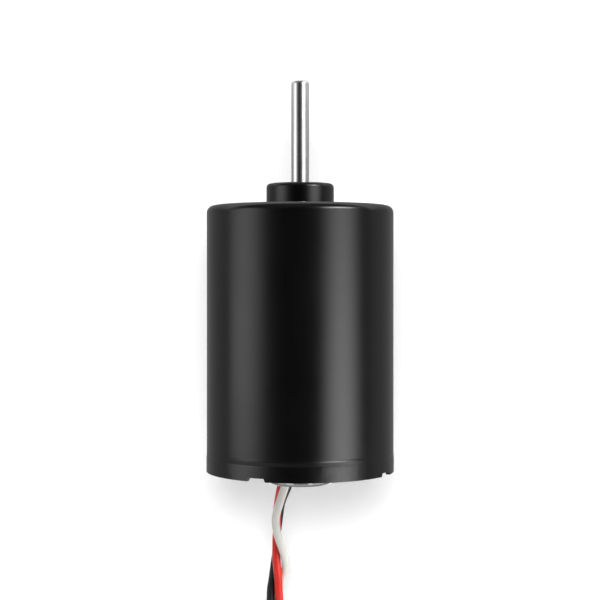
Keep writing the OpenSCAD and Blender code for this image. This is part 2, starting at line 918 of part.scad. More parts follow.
module termination_board() {
  color([0.1, 0.36, 0.2]) {
    difference() {
      translate([0, 0, board_rear_z]) ring(board_r, board_hole_d / 2, board_t);
      for (i = [0:tooth_n - 1], side = [-1, 1]) {
        rotate(i * slot_pitch) {
          translate([tail_place_r, side * tail_side, board_rear_z - cut]) {
            cylinder(d = tail_d + board_hole_gap, h = board_t + 2 * cut);
          }
        }
      }
      for (i = [0:post_n - 1]) {
        rotate(i * 360 / post_n) {
          translate([post_place_r, 0, board_rear_z - cut]) {
            cylinder(d = post_pin_d + board_hole_gap, h = board_t + 2 * cut);
          }
        }
      }
    }
  }
}

// Low dome of solder that stands on zero
module solder_dome(d) {
  dome_r = (d * d / 4 + solder_h * solder_h) / (2 * solder_h);
  rotate_extrude($fn = 32) {
    intersection() {
      translate([0, solder_h - dome_r]) circle(r = dome_r, $fn = 64);
      square([d, solder_h]);
    }
  }
}

module solder_joints() {
  color([0.78, 0.79, 0.8]) {
    for (i = [0:tooth_n - 1], side = [-1, 1]) {
      rotate(i * slot_pitch) {
        translate([tail_place_r, side * tail_side, board_rear_z]) {
          mirror([0, 0, 1]) solder_dome(solder_d);
        }
      }
    }
    for (route = lead_routes) {
      translate([grommet_x + route[0][0], grommet_y + route[0][1], board_front_z]) {
        solder_dome(solder_d);
      }
    }
  }
}

module lead_grommet() {
  color([0.12, 0.12, 0.12]) {
    difference() {
      translate([grommet_x, grommet_y, grommet_outer_z]) {
        rotate_extrude() {
          difference() {
            square([grommet_flange_r, grommet_l]);
            translate([grommet_r, grommet_flange_t]) square([grommet_r, cap_t]);
          }
        }
      }
      for (route = lead_routes) {
        translate(grommet_place + route[0] - [0, 0, cut]) {
          cylinder(r = lead_bore_r, h = grommet_l + 2 * cut);
        }
      }
    }
  }
}

// A lead's whole path: straight from the termination board to the grommet's outer face, then its route
function lead_path(route) =
  let (exit = grommet_place + route[0])
    concat([[exit[0], exit[1], board_rear_z]], [for (place = route) grommet_place + place]);

// Unit vector along a given one
function unit(v) = v / norm(v);

// Direction of a path at one of its points
function heading(path, i) =
  unit(path[min(i + 1, len(path) - 1)] - path[max(i - 1, 0)]);

// Ring of points around a path at one of its points
function lead_ring(path, i) =
  let (
    t = heading(path, i), side = unit([1, 0, 0] - ([1, 0, 0] * t) * t), up = cross(t, side)
  )
    [
      for (k = [0:lead_sides - 1])
        let (a = (k + 0.5) * 360 / lead_sides) path[i] + lead_r * (cos(a) * side + sin(a) * up)
    ];

// Round lead swept along its path
module lead(route) {
  n = lead_sides;
  path = lead_path(route);
  last = len(path) - 1;
  points = [for (i = [0:last]) each lead_ring(path, i)];
  sides = [
    for (i = [0:last - 1], k = [0:n - 1])
      let (
        a = i * n + k, b = i * n + (k + 1) % n, c = (i + 1) * n + (k + 1) % n,
        d = (i + 1) * n + k
      )
        for (face = [[a, c, b], [a, d, c]]) face
  ];
  ends = [[for (k = [0:n - 1]) k], [for (k = [n - 1:-1:0]) last * n + k]];
  polyhedron(points, concat(sides, ends));
}

module red_lead() {
  color([0.75, 0.1, 0.08]) lead(red_route);
}

module white_lead() {
  color([0.92, 0.91, 0.88]) lead(white_route);
}

module black_lead() {
  color([0.06, 0.06, 0.06]) lead(black_route);
}

// Tinned strands that hang from the end of a lead
module lead_tip(route) {
  color([0.8, 0.8, 0.78]) {
    translate(grommet_place + route[len(route) - 1]) {
      mirror([0, 0, 1]) rotate_extrude($fn = 32) rounded_post(tip_d / 2, tip_l, tip_d / 4);
    }
  }
}

can();
rear_cap();
at_front_bearing() bearing_outer_race();  // front_bearing_outer_race
at_front_bearing() bearing_inner_race();  // front_bearing_inner_race
at_front_bearing() bearing_balls();  // front_bearing_balls
at_front_bearing() bearing_cage();  // front_bearing_cage
at_front_bearing() bearing_shields();  // front_bearing_shields
at_rear_bearing() bearing_outer_race();  // rear_bearing_outer_race
at_rear_bearing() bearing_inner_race();  // rear_bearing_inner_race
at_rear_bearing() bearing_balls();  // rear_bearing_balls
at_rear_bearing() bearing_cage();  // rear_bearing_cage
at_rear_bearing() bearing_shields();  // rear_bearing_shields
wave_washer();
shaft();
retaining_clip();
rotor_core();
north_magnets();
south_magnets();
rotor_sleeve();
front_balance_ring();
rear_balance_ring();
front_spacer();
rear_spacer();
stator_core();
front_insulator();
rear_insulator();
slot_liners();
phase_coils(0);  // phase_u_coils
phase_coils(1);  // phase_v_coils
phase_coils(2);  // phase_w_coils
termination_board();
solder_joints();
lead_grommet();
red_lead();
white_lead();
black_lead();
lead_tip(red_route);  // red_lead_tip
lead_tip(white_route);  // white_lead_tip
lead_tip(black_route);  // black_lead_tip
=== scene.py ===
import json
import math

import bmesh
import bpy
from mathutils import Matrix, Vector


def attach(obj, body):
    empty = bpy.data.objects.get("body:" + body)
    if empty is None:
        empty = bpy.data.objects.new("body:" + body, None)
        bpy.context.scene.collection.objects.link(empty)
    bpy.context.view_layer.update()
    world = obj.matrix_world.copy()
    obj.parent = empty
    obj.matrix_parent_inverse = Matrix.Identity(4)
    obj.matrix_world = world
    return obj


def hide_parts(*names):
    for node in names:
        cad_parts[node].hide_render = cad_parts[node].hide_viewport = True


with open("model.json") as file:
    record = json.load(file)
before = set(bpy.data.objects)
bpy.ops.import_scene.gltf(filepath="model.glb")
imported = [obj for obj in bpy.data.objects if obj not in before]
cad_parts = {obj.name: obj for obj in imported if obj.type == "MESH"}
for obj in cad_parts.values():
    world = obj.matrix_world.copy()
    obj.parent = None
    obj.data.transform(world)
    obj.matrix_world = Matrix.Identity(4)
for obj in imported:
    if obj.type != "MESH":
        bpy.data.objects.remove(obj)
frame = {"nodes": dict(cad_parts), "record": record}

scene = bpy.context.scene
nodes = frame["nodes"]
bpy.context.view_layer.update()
mm = 0.001
print("motor loaded:", len(nodes), "nodes")


# camera, level with the upper third of the can
photo = {
    "side": 600,  # pixels
    "focal": 1434.0,  # pixels
    "horizon": 277.0,  # row of the eye's height
    "middle": 300.15,  # column of the motor's axis
    "distance": 323 * mm,
    "height": -16 * mm,
    "sensor": 36.0,
    "clip": (10 * mm, 20.0),
}
lensData = bpy.data.cameras.new("photoCamera")
lensData.sensor_width = photo["sensor"]
lensData.lens = photo["focal"] / photo["side"] * photo["sensor"]
lensData.shift_x = (photo["side"] / 2 - photo["middle"]) / photo["side"]
lensData.shift_y = (photo["horizon"] - photo["side"] / 2) / photo["side"]
lensData.clip_start, lensData.clip_end = photo["clip"]
camera = bpy.data.objects.new("photoCamera", lensData)
camera.location = (0, -photo["distance"], photo["height"])
camera.rotation_euler = (math.radians(90), 0, 0)
scene.collection.objects.link(camera)
scene.camera = camera
print("camera placed")


# the three leads: routes from the grommet's outer face, as in the solids
leadRun = {
    "diameter": 1.9 * mm,
    "grommet": Vector((-2, 12.925, -58.05)),
    "board": -51.2,  # where they are soldered, mm
    "steps": 6,  # rings between two points of a route
    "sides": 20,
    "sharp": 60,  # degrees, corners above this stay sharp
    "cutEdge": 0.14 * mm,
    "cutTurns": (0, 0.4, 0.8, 1.2, math.pi / 2),  # rings of the cut end's rounding, radians
    "lengths": {"white": 0.106, "red": 0.104, "black": 0.105},  # from the board to the stripped end
    "white": [
        (0, -1.4, 0), (-0.3, -1.5, -3),
        (-1.6, -1.7, -7), (-2.9, -1.7, -11), (-3.7, -1.7, -14), (-3.5, -1.7, -17),
        (-2.6, -1.6, -20), (-1.7, -0.6, -23), (-1.4, 0.7, -26), (-2.1, 2.1, -29),
        (-2.9, 2.6, -32), (-3.6, 2.7, -37), (-4.1, 2.3, -42), (-4.3, 1.5, -47),
        (-4, 0.9, -52), (-3.7, 0.3, -57), (-3.3, -0.1, -62), (-3, -0.5, -67),
        (-2.7, -0.9, -72), (-2.4, -1.3, -77), (-2.1, -1.7, -82), (-1.9, -2, -87),
        (-1.8, -2.2, -92), (-1.8, -2.2, -97),
    ],
    "red": [
        (-1.2, 0.7, 0), (-1.6, 0.6, -3),
        (-2.5, 0.3, -7), (-3.2, 0.3, -11), (-3.5, 0.3, -14), (-3.5, 0.3, -17),
        (-3.6, 0.3, -20), (-3.6, 0.3, -23), (-3.4, 0.2, -26), (-3.1, 0.2, -29),
        (-3, 0.4, -32), (-2.6, 0.7, -37), (-2.1, 1.3, -42), (-2.2, 1.9, -47),
        (-2, 1.9, -52), (-2.1, 1.8, -57), (-2.2, 1.8, -62), (-2.1, 1.8, -67),
        (-2.1, 1.9, -72), (-2.2, 2.1, -77), (-2.3, 2.3, -82), (-2.4, 2.5, -87),
        (-2.5, 2.6, -92), (-2.5, 2.6, -97),
    ],
    "black": [
        (1.2, 0.7, 0), (0.7, 0.9, -3),
        (-0.8, 1.5, -7), (-2.4, 2.2, -11), (-2.9, 2.3, -14), (-3.3, 2.3, -17),
        (-3.6, 2.3, -20), (-3.7, 2.3, -23), (-4.1, 2.2, -26), (-4.5, 1.9, -29),
        (-4.9, 1.5, -32), (-4.8, 0.7, -37), (-4, 0, -42), (-2.9, -0.3, -47),
        (-2.2, -0.4, -52), (-1.6, -0.4, -57), (-1.1, -0.2, -62), (-0.6, -0.1, -67),
        (-0.1, 0, -72), (0.4, 0.1, -77), (0.8, 0.2, -82), (1.1, 0.3, -87),
        (1.3, 0.3, -92), (1.3, 0.3, -97),
    ],
}
strand = {
    "count": 6,  # around one in the middle
    "bundle": 1.0 * mm,
    "across": 3,  # wires side by side in the bundle
    "tip": 0.04,  # least share of a wire's section where it ends
    "length": 5.0 * mm,
    "hidden": 0.8 * mm,  # inside the insulation
    "lay": 9.0 * mm,  # length of one twist
    "steps": 24,
    "sides": 10,
}


def leadPath(colour):
    start = leadRun["grommet"] + Vector(leadRun[colour][0])
    points = [Vector((start.x, start.y, leadRun["board"]))]
    points += [leadRun["grommet"] + Vector(place) for place in leadRun[colour]]
    return [point * mm for point in points]


def smoothPath(points, steps):
    # passes through every point without corners
    ends = [2 * points[0] - points[1], *points, 2 * points[-1] - points[-2]]
    path = []
    for before, start, end, after in zip(ends, ends[1:], ends[2:], ends[3:]):
        for step in range(steps):
            t = step / steps
            path.append(0.5 * (
                2 * start + (end - before) * t + (2 * before - 5 * start + 4 * end - after) * t * t
                + (3 * start - before - 3 * end + after) * t * t * t
            ))
    return path + [points[-1]]


def addTube(mesh, path, sizes, sides):
    # rings carried along the path without twist, closed at both ends
    side = Vector((1, 0, 0))
    rings = []
    for index, (place, size) in enumerate(zip(path, sizes)):
        along = (path[min(index + 1, len(path) - 1)] - path[max(index - 1, 0)]).normalized()
        side = (side - side.dot(along) * along).normalized()
        up = along.cross(side)
        rings.append([
            mesh.verts.new(place + size * (math.cos(a) * side + math.sin(a) * up))
            for a in (2 * math.pi * k / sides for k in range(sides))
        ])
    for upper, lower in zip(rings, rings[1:]):
        for k in range(sides):
            n = (k + 1) % sides
            mesh.faces.new((upper[k], upper[n], lower[n], lower[k]))
    mesh.faces.new(rings[0])
    mesh.faces.new(list(reversed(rings[-1])))


def keepMesh(mesh, name):
    # smooth faces, with the sharp corners kept
    bmesh.ops.recalc_face_normals(mesh, faces=mesh.faces)
    for edge in mesh.edges:
        if len(edge.link_faces) == 2 and edge.calc_face_angle(0) > math.radians(leadRun["sharp"]):
            edge.smooth = False
    data = bpy.data.meshes.new(name)
    mesh.to_mesh(data)
    mesh.free()
    data.polygons.foreach_set("use_smooth", [True] * len(data.polygons))
    piece = bpy.data.objects.new(name, data)
    scene.collection.objects.link(piece)
    return piece


def makeLead(colour):
    # one smooth tube whose cut end is slightly rounded
    path = smoothPath(leadPath(colour), leadRun["steps"])
    end, down = path[-1], (path[-1] - path[-2]).normalized()
    size, edge = leadRun["diameter"] / 2, leadRun["cutEdge"]
    places, sizes = path[:-1], [size] * (len(path) - 1)
    for turn in leadRun["cutTurns"]:
        places.append(end + down * edge * (math.sin(turn) - 1))
        sizes.append(size + edge * (math.cos(turn) - 1))
    mesh = bmesh.new()
    addTube(mesh, places, sizes, leadRun["sides"])
    return keepMesh(mesh, colour + "Lead"), path


def makeStrands(colour):
    # twisted tinned wires with rounded ends
    end = leadPath(colour)[-1]
    wire = strand["bundle"] / strand["across"] / 2
    mesh = bmesh.new()
    for index in range(strand["count"] + 1):
        offset = 0 if index == 0 else 2 * wire
        path, sizes = [], []
        for step in range(strand["steps"] + 1):
            share = math.sin(step / strand["steps"] * math.pi / 2)
            drop = share * (strand["length"] + strand["hidden"]) - strand["hidden"]
            turn = 2 * math.pi * (index / strand["count"] + drop / strand["lay"])
            path.append(end + Vector((offset * math.cos(turn), offset * math.sin(turn), -drop)))
            past = max(drop - strand["length"] + wire, 0) / wire
            sizes.append(wire * math.sqrt(max(1 - past * past, strand["tip"])))
        addTube(mesh, path, sizes, strand["sides"])
    return keepMesh(mesh, colour + "Strands")


leads = {}
for colour, length in leadRun["lengths"].items():
    lead, path = makeLead(colour)
    strands = makeStrands(colour)
    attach(lead, "housing")
    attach(strands, "housing")
    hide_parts(colour + "_lead")
    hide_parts(colour + "_lead_tip")
    leads[colour] = (lead, strands)
print("leads laid:", ", ".join(leads))


# nodes that every finish uses
nodeStep = (200, 180)  # between the columns and the rows of a tree


def putNode(node, column, row):
    node.location = (column * nodeStep[0], -row * nodeStep[1])


def addNode(tree, kind, column, row, **settings):
    node = tree.nodes.new(kind)
    putNode(node, column, row)
    for name, value in settings.items():
        setattr(node, name, value)
    return node


def setInputs(node, **values):
    for name, value in values.items():
        node.inputs[name.replace("_", " ")].default_value = value
    return node


def feed(tree, socket, value):
    # a number, a colour or another node's output
    if isinstance(value, (int, float)):
        socket.default_value = value
    elif isinstance(value, tuple):
        socket.default_value = (*value, 1)
    elif value is not None:
        tree.links.new(value, socket)


def addMath(tree, operation, first, second, column, row, clamp=False):
    node = addNode(tree, "ShaderNodeMath", column, row, operation=operation, use_clamp=clamp)
    feed(tree, node.inputs[0], first)
    feed(tree, node.inputs[1], second)
    return node.outputs[0]


def addNoise(tree, place, scale, column, row, **values):
    node = setInputs(addNode(tree, "ShaderNodeTexNoise", column, row), **values)
    feed(tree, node.inputs["Vector"], place)
    feed(tree, node.inputs["Scale"], scale)
    return node.outputs["Fac"]


def addRange(tree, value, column, row, smooth=False, **limits):
    kind = "SMOOTHSTEP" if smooth else "LINEAR"
    node = setInputs(addNode(tree, "ShaderNodeMapRange", column, row, interpolation_type=kind), **limits)
    tree.links.new(value, node.inputs["Value"])
    return node.outputs[0]


def addPlace(tree, column, row):
    # the piece's own coordinates, whole and split into x, y and z
    place = addNode(tree, "ShaderNodeTexCoord", column, row)
    split = addNode(tree, "ShaderNodeSeparateXYZ", column + 1, row)
    tree.links.new(place.outputs["Object"], split.inputs[0])
    return place.outputs["Object"], split.outputs


def addRadius(tree, x, y, column, row):
    # distance from the middle
    square = addMath(tree, "MULTIPLY", x, x, column, row)
    other = addMath(tree, "MULTIPLY", y, y, column, row + 1)
    both = addMath(tree, "ADD", square, other, column + 1, row)
    return addMath(tree, "SQRT", both, None, column + 2, row)


def mixColours(tree, factor, first, second, column, row):
    node = addNode(tree, "ShaderNodeMix", column, row, data_type="RGBA")
    for index, value in ((0, factor), (6, first), (7, second)):
        feed(tree, node.inputs[index], value)
    return node.outputs[2]


def mixValues(tree, factor, first, second, column, row):
    node = addNode(tree, "ShaderNodeMix", column, row)
    for index, value in ((0, factor), (2, first), (3, second)):
        feed(tree, node.inputs[index], value)
    return node.outputs[0]


def mixShaders(tree, factor, first, second, column, row):
    node = addNode(tree, "ShaderNodeMixShader", column, row)
    for index, value in enumerate((factor, first, second)):
        feed(tree, node.inputs[index], value)
    return node.outputs[0]


# node groups shared by the finishes
def startGroup(name, inputs, outputs):
    group = bpy.data.node_groups.new(name, "ShaderNodeTree")
    for label, (kind, value) in inputs.items():
        socket = group.interface.new_socket(label, in_out="INPUT", socket_type=kind)
        socket.default_value = value
    for label, kind in outputs.items():
        group.interface.new_socket(label, in_out="OUTPUT", socket_type=kind)
    return group, addNode(group, "NodeGroupInput", 0, 0), addNode(group, "NodeGroupOutput", 9, 0)


edgeWearAndHighlight = {
    "samples": 4,
    "patches": {"Detail": 5},
    "finer": 4,  # its patches against those of handling
    "raise": 6.0,
    "floor": 0.12,
    "sharpen": 2.0,
}


def buildEdgeRubAndHighlight():
    # 1 where a corner is rubbed, since the rounded normal leaves the real one there; the lighter colour put
    # there is edge wear, and on the black can partly a painted edge highlight
    group, source, result = startGroup(
        "edgeRubAndHighlight",
        {
            "Width": ("NodeSocketFloat", 0.3 * mm), "Patch Scale": ("NodeSocketFloat", 300.0),
            "Reach": ("NodeSocketFloat", 1.0),
        },
        {"Mask": "NodeSocketFloat"},
    )
    link = group.links.new
    rounded = addNode(group, "ShaderNodeBevel", 1, 0, samples=edgeWearAndHighlight["samples"])
    link(source.outputs["Width"], rounded.inputs["Radius"])
    real = addNode(group, "ShaderNodeNewGeometry", 1, 1)
    same = addNode(group, "ShaderNodeVectorMath", 2, 0, operation="DOT_PRODUCT")
    link(rounded.outputs[0], same.inputs[0])
    link(real.outputs["Normal"], same.inputs[1])
    corner = addMath(group, "SUBTRACT", 1.0, same.outputs["Value"], 3, 0)
    place = addNode(group, "ShaderNodeTexCoord", 1, 2).outputs["Object"]
    patch = addNoise(group, place, source.outputs["Patch Scale"], 2, 2, **edgeWearAndHighlight["patches"])
    raised = addMath(group, "MULTIPLY", corner, source.outputs["Reach"], 4, 0)
    raised = addMath(group, "MULTIPLY", raised, edgeWearAndHighlight["raise"], 5, 0)
    broken = addMath(group, "MULTIPLY", raised, patch, 6, 0)
    kept = addMath(group, "SUBTRACT", broken, edgeWearAndHighlight["floor"], 7, 0)
    link(addMath(group, "MULTIPLY", kept, edgeWearAndHighlight["sharpen"], 8, 0, clamp=True), result.inputs["Mask"])
    return group


grainNoise = {
    "small": {"Detail": 3},
    "large": {"Detail": 6, "Roughness": 0.6, "Distortion": 0.8},
    "spread": {"From_Min": 0.3, "From_Max": 0.7},  # of the large one
    "lines": {"Detail": 4, "Roughness": 0.7},
}


def buildSurfaceGrain():
    # small relief, stretched where the surface was drawn or rolled, and slow patches of handling
    group, source, result = startGroup(
        "surfaceGrain",
        {
            "Scale": ("NodeSocketFloat", 900.0), "Stretch": ("NodeSocketVector", (1.0, 1.0, 1.0)),
            "Patch Scale": ("NodeSocketFloat", 90.0),
        },
        {"Height": "NodeSocketFloat", "Patch": "NodeSocketFloat"},
    )
    link = group.links.new
    place = addNode(group, "ShaderNodeTexCoord", 1, 0).outputs["Object"]
    pulled = addNode(group, "ShaderNodeVectorMath", 2, 0, operation="MULTIPLY")
    link(place, pulled.inputs[0])
    link(source.outputs["Stretch"], pulled.inputs[1])
    small = addNoise(group, pulled.outputs[0], source.outputs["Scale"], 3, 0, **grainNoise["small"])
    large = addNoise(group, place, source.outputs["Patch Scale"], 3, 2, **grainNoise["large"])
    link(small, result.inputs["Height"])
    link(addRange(group, large, 5, 2, **grainNoise["spread"]), result.inputs["Patch"])
    return group


def buildTurnedLines():
    # rings left by a lathe or a grinding wheel, by radius and height, with a slight waver
    group, source, result = startGroup(
        "turnedLines",
        {"Scale": ("NodeSocketFloat", 6000.0), "Waver": ("NodeSocketFloat", 0.02)},
        {"Height": "NodeSocketFloat"},
    )
    x, y, z = addPlace(group, 1, 0)[1]
    lay = addNode(group, "ShaderNodeCombineXYZ", 6, 0)
    feed(group, lay.inputs[0], addRadius(group, x, y, 3, 0))
    feed(group, lay.inputs[1], addMath(group, "MULTIPLY", x, source.outputs["Waver"], 4, 2))
    feed(group, lay.inputs[2], z)
    lines = addNoise(group, lay.outputs[0], source.outputs["Scale"], 7, 0, **grainNoise["lines"])
    group.links.new(lines, result.inputs["Height"])
    return group


def buildRidges():
    # even round ridges: wire turns, sheets or windings of fibre, by radius, height and angle
    group, source, result = startGroup(
        "ridges",
        {
            "Pitch": ("NodeSocketFloat", 0.5 * mm), "Outward": ("NodeSocketFloat", 0.0),
            "Upward": ("NodeSocketFloat", 1.0), "Starts": ("NodeSocketFloat", 0.0),
        },
        {"Height": "NodeSocketFloat"},
    )
    x, y, z = addPlace(group, 1, 0)[1]
    outward = addMath(group, "MULTIPLY", addRadius(group, x, y, 3, 0), source.outputs["Outward"], 6, 0)
    upward = addMath(group, "MULTIPLY", z, source.outputs["Upward"], 6, 1)
    along = addMath(group, "ADD", outward, upward, 7, 0)
    turns = addMath(group, "DIVIDE", along, source.outputs["Pitch"], 8, 0)
    angle = addMath(group, "DIVIDE", addMath(group, "ARCTAN2", y, x, 4, 3), 2 * math.pi, 5, 3)
    around = addMath(group, "MULTIPLY", angle, source.outputs["Starts"], 6, 3)
    phase = addMath(group, "MULTIPLY", addMath(group, "ADD", turns, around, 7, 2), math.pi, 8, 2)
    wave = addMath(group, "SINE", phase, None, 7, 4)
    group.links.new(addMath(group, "ABSOLUTE", wave, None, 8, 4), result.inputs["Height"])
    return group


edgeRubAndHighlight = buildEdgeRubAndHighlight()
surfaceGrain = buildSurfaceGrain()
turnedLines = buildTurnedLines()
ridges = buildRidges()
print("node groups built")


# finishes, one look for each slot
scatterDepth = 0.6 * mm  # of light inside the paler plastics


def placeGroup(tree, group, column, row, **values):
    return setInputs(addNode(tree, "ShaderNodeGroup", column, row, node_tree=group), **values)


def makeFinish(name, look):
    # colours, roughness and relief come from the look; a special finish goes on from the parts returned
    material = bpy.data.materials.new(name)
    material.use_nodes = True
    tree = material.node_tree
    link = tree.links.new
    shader = tree.nodes["Principled BSDF"]
    putNode(shader, 12, 0)
    putNode(tree.nodes["Material Output"], 14, 0)
    setInputs(shader, Metallic=look.get("metal", 0.0), IOR=look.get("ior", 1.5))
    if "coat" in look:
        weight, coatRough = look["coat"]
        setInputs(shader, Coat_Weight=weight, Coat_Roughness=coatRough)
    if "under" in look:
        setInputs(shader, Subsurface_Weight=look["under"], Subsurface_Scale=scatterDepth)
    scale, depth = look["grain"]
    stretch = look.get("stretch", (1, 1, 1))
    grain = placeGroup(tree, surfaceGrain, 0, 0, Scale=scale, Stretch=stretch, Patch_Scale=look["patch"])
    patch = grain.outputs["Patch"]
    base = mixColours(tree, patch, look["colour"], look["tint"], 3, 0)
    low, high = look["rough"]
    rough = addRange(tree, patch, 3, 2, To_Min=low, To_Max=high)
    relief = addMath(tree, "MULTIPLY", grain.outputs["Height"], depth, 3, 4)
    if "turned" in look:
        scale, depth = look["turned"]
        lines = placeGroup(tree, turnedLines, 0, 3, Scale=scale)
        relief = addMath(tree, "ADD", relief, addMath(tree, "MULTIPLY", lines.outputs[0], depth, 3, 5), 4, 4)
    if "ridges" in look:
        pitch, depth, outward, upward, starts = look["ridges"]
        wave = placeGroup(tree, ridges, 0, 5, Pitch=pitch, Outward=outward, Upward=upward, Starts=starts)
        relief = addMath(tree, "ADD", relief, addMath(tree, "MULTIPLY", wave.outputs[0], depth, 3, 6), 5, 4)
        base = mixColours(tree, wave.outputs[0], look["groove"], base, 5, 0)
    # lighter edges: wear, and on the black can partly a painted edge highlight
    if "rub" in look:
        width, reach, bright, polish = look["rub"]
        patchScale = look["patch"] * edgeWearAndHighlight["finer"]
        rub = placeGroup(tree, edgeRubAndHighlight, 0, 7, Width=width, Reach=reach, Patch_Scale=patchScale)
        base = mixColours(tree, rub.outputs[0], base, bright, 6, 0)
        rough = mixValues(tree, rub.outputs[0], rough, polish, 6, 2)
    bump = setInputs(addNode(tree, "ShaderNodeBump", 11, 4), Distance=1.0)
    link(relief, bump.inputs["Height"])
    link(base, shader.inputs["Base Color"])
    link(rough, shader.inputs["Roughness"])
    link(bump.outputs[0], shader.inputs["Normal"])
    return material, tree, {"base": base, "rough": rough, "relief": relief, "bump": bump, "shader": shader}


def dress(slotName, material):
    for part in frame["record"]["subparts"]:
        if part["material_slot"] == slotName:
            piece = nodes[part["node"]]
            piece.data.materials.clear()
            piece.data.materials.append(material)


# can: satin black paint with a faint orange peel, bare threads in the screw holes
canLook = {
    "colour": (0.0016, 0.0016, 0.0017), "tint": (0.0022, 0.0022, 0.0023),
    "rough": (0.22, 0.26), "grain": (1100, 0.0000022), "patch": 70,
    # a lighter line along the can's corners: edge wear, and partly a painted edge highlight
    "rub": (0.25 * mm, 0.5, (0.03, 0.03, 0.03), 0.3),
}
screwHoles = {
    "place": 12.5 * mm / math.sqrt(2),  # along x and along y
    "edge": 1.32 * mm,  # just outside the bore
    "top": -0.12 * mm,  # bare below it
    "pitch": 0.5 * mm,
    "depth": 0.09 * mm,
    "bare": (0.42, 0.42, 0.43),
}
rolledStep = {
    "slopes": (  # where each starts, where it ends, how far it goes out or in
        (-54.76 * mm, -55.22 * mm, 0.118 * mm), (-55.28 * mm, -56.12 * mm, -0.118 * mm),
        (-56.2 * mm, -59.5 * mm, 0.09 * mm),
    ),
    "uneven": (-56.0 * mm, 400, 0.06 * mm),  # the skirt below: from where, scale and depth
}


def paintCan():
    material, tree, parts = makeFinish("canPaint", canLook)
    link = tree.links.new
    place, (x, y, z) = addPlace(tree, 0, 9)
    across, aside = (
        addMath(tree, "SUBTRACT", addMath(tree, "ABSOLUTE", side, None, 2, row), screwHoles["place"], 3, row)
        for side, row in ((x, 9), (y, 10))
    )
    inside = addMath(tree, "LESS_THAN", addRadius(tree, across, aside, 4, 9), screwHoles["edge"], 7, 9)
    deeper = addMath(tree, "LESS_THAN", z, screwHoles["top"], 7, 11)
    thread = addMath(tree, "MULTIPLY", inside, deeper, 8, 9)
    turn = addMath(tree, "DIVIDE", addMath(tree, "ARCTAN2", aside, across, 4, 12), 2 * math.pi, 5, 12)
    climb = addMath(tree, "DIVIDE", z, screwHoles["pitch"], 4, 13)
    # a thread rises from 0 to a half and falls again within one pitch
    tooth = addMath(tree, "PINGPONG", addMath(tree, "ADD", turn, climb, 6, 12), 0.5, 7, 12)
    tooth = addMath(tree, "MULTIPLY", tooth, thread, 8, 12)
    cut = addMath(tree, "MULTIPLY", tooth, screwHoles["depth"] * 2, 9, 12)
    for row, (start, end, rise) in enumerate(rolledStep["slopes"], 14):
        step = addRange(tree, z, 8, row, From_Min=start, From_Max=end, To_Max=rise)
        cut = addMath(tree, "ADD", cut, step, 9, row)
    below, scale, depth = rolledStep["uneven"]
    skirt = addMath(tree, "LESS_THAN", z, below, 8, 17)
    swell = addMath(tree, "MULTIPLY", addNoise(tree, place, scale, 7, 17), depth, 8, 18)
    cut = addMath(tree, "ADD", cut, addMath(tree, "MULTIPLY", swell, skirt, 9, 18), 10, 18)
    base = mixColours(tree, thread, parts["base"], screwHoles["bare"], 9, 0)
    link(base, parts["shader"].inputs["Base Color"])
    link(thread, parts["shader"].inputs["Metallic"])
    link(addMath(tree, "ADD", parts["relief"], cut, 10, 4), parts["bump"].inputs["Height"])
    return material


dress("can_paint", paintCan())

# cap: galvanised sheet, with large soft spangles, and painted highlights and painted shade on the rear
# boss's side
capLook = {
    "colour": (0.50, 0.51, 0.53), "tint": (0.60, 0.61, 0.62), "metal": 1.0,
    "rough": (0.30, 0.42), "grain": (2500, 0.0000015), "patch": 160,
    "rub": (0.2 * mm, 0.7, (0.72, 0.72, 0.72), 0.25),
}
spangles = {"scale": 420, "share": 0.35, "colour": (0.40, 0.42, 0.45), "rougher": 0.12}
rearBoss = {  # drawn smoother than the rest; its side has painted highlights and painted shade
    "radius": 8.1 * mm,
    "rough": 0.13,
    "paintedShade": (0.30, 0.30, 0.31),  # painted shade and painted highlight: the side's darkest and brightest patches, one to a cell
    "bright": (0.86, 0.86, 0.85),
    "highlightFrom": -0.7,  # below 0, so two fifths of the patches keep the painted shade
    "face": -61.75 * mm,  # its face, one even colour from here down
    "faceColour": (0.40, 0.405, 0.41),
}


def galvaniseCap():
    material, tree, parts = makeFinish("zincPlate", capLook)
    link = tree.links.new
    place, (x, y, z) = addPlace(tree, 0, 9)
    cells = addNode(tree, "ShaderNodeTexVoronoi", 2, 9, feature="F1")
    setInputs(cells, Scale=spangles["scale"])
    link(place, cells.inputs["Vector"])
    shade = addNode(tree, "ShaderNodeSeparateColor", 3, 9)
    link(cells.outputs["Color"], shade.inputs[0])
    # each crystal has a random red, green and blue of its own, used as three separate shades; the blue one
    # also picks painted highlight or painted shade on the rear boss's side
    red, green, blue = shade.outputs
    flake = addRange(tree, red, 4, 9, To_Max=spangles["share"])
    rougher = addMath(tree, "MULTIPLY", green, spangles["rougher"], 4, 10)
    # painted highlights: the share of the bright colour on the boss's side, cell by cell
    bright = addRange(tree, blue, 4, 14, To_Min=rearBoss["highlightFrom"])
    boss = addMath(tree, "LESS_THAN", addRadius(tree, x, y, 2, 11), rearBoss["radius"], 5, 11)
    face = addMath(tree, "LESS_THAN", z, rearBoss["face"], 5, 13)
    # painted highlight and painted shade on the boss's side, in place of its reflections
    side = mixColours(tree, bright, rearBoss["paintedShade"], rearBoss["bright"], 5, 14)
    bossWithPaintedLight = mixColours(tree, face, side, rearBoss["faceColour"], 6, 11)
    sheet = mixColours(tree, flake, parts["base"], spangles["colour"], 7, 0)
    link(mixColours(tree, boss, sheet, bossWithPaintedLight, 8, 0), parts["shader"].inputs["Base Color"])
    matt = addMath(tree, "ADD", parts["rough"], rougher, 7, 2)
    link(mixValues(tree, boss, matt, rearBoss["rough"], 8, 2), parts["shader"].inputs["Roughness"])
    return material


dress("zinc_plate", galvaniseCap())

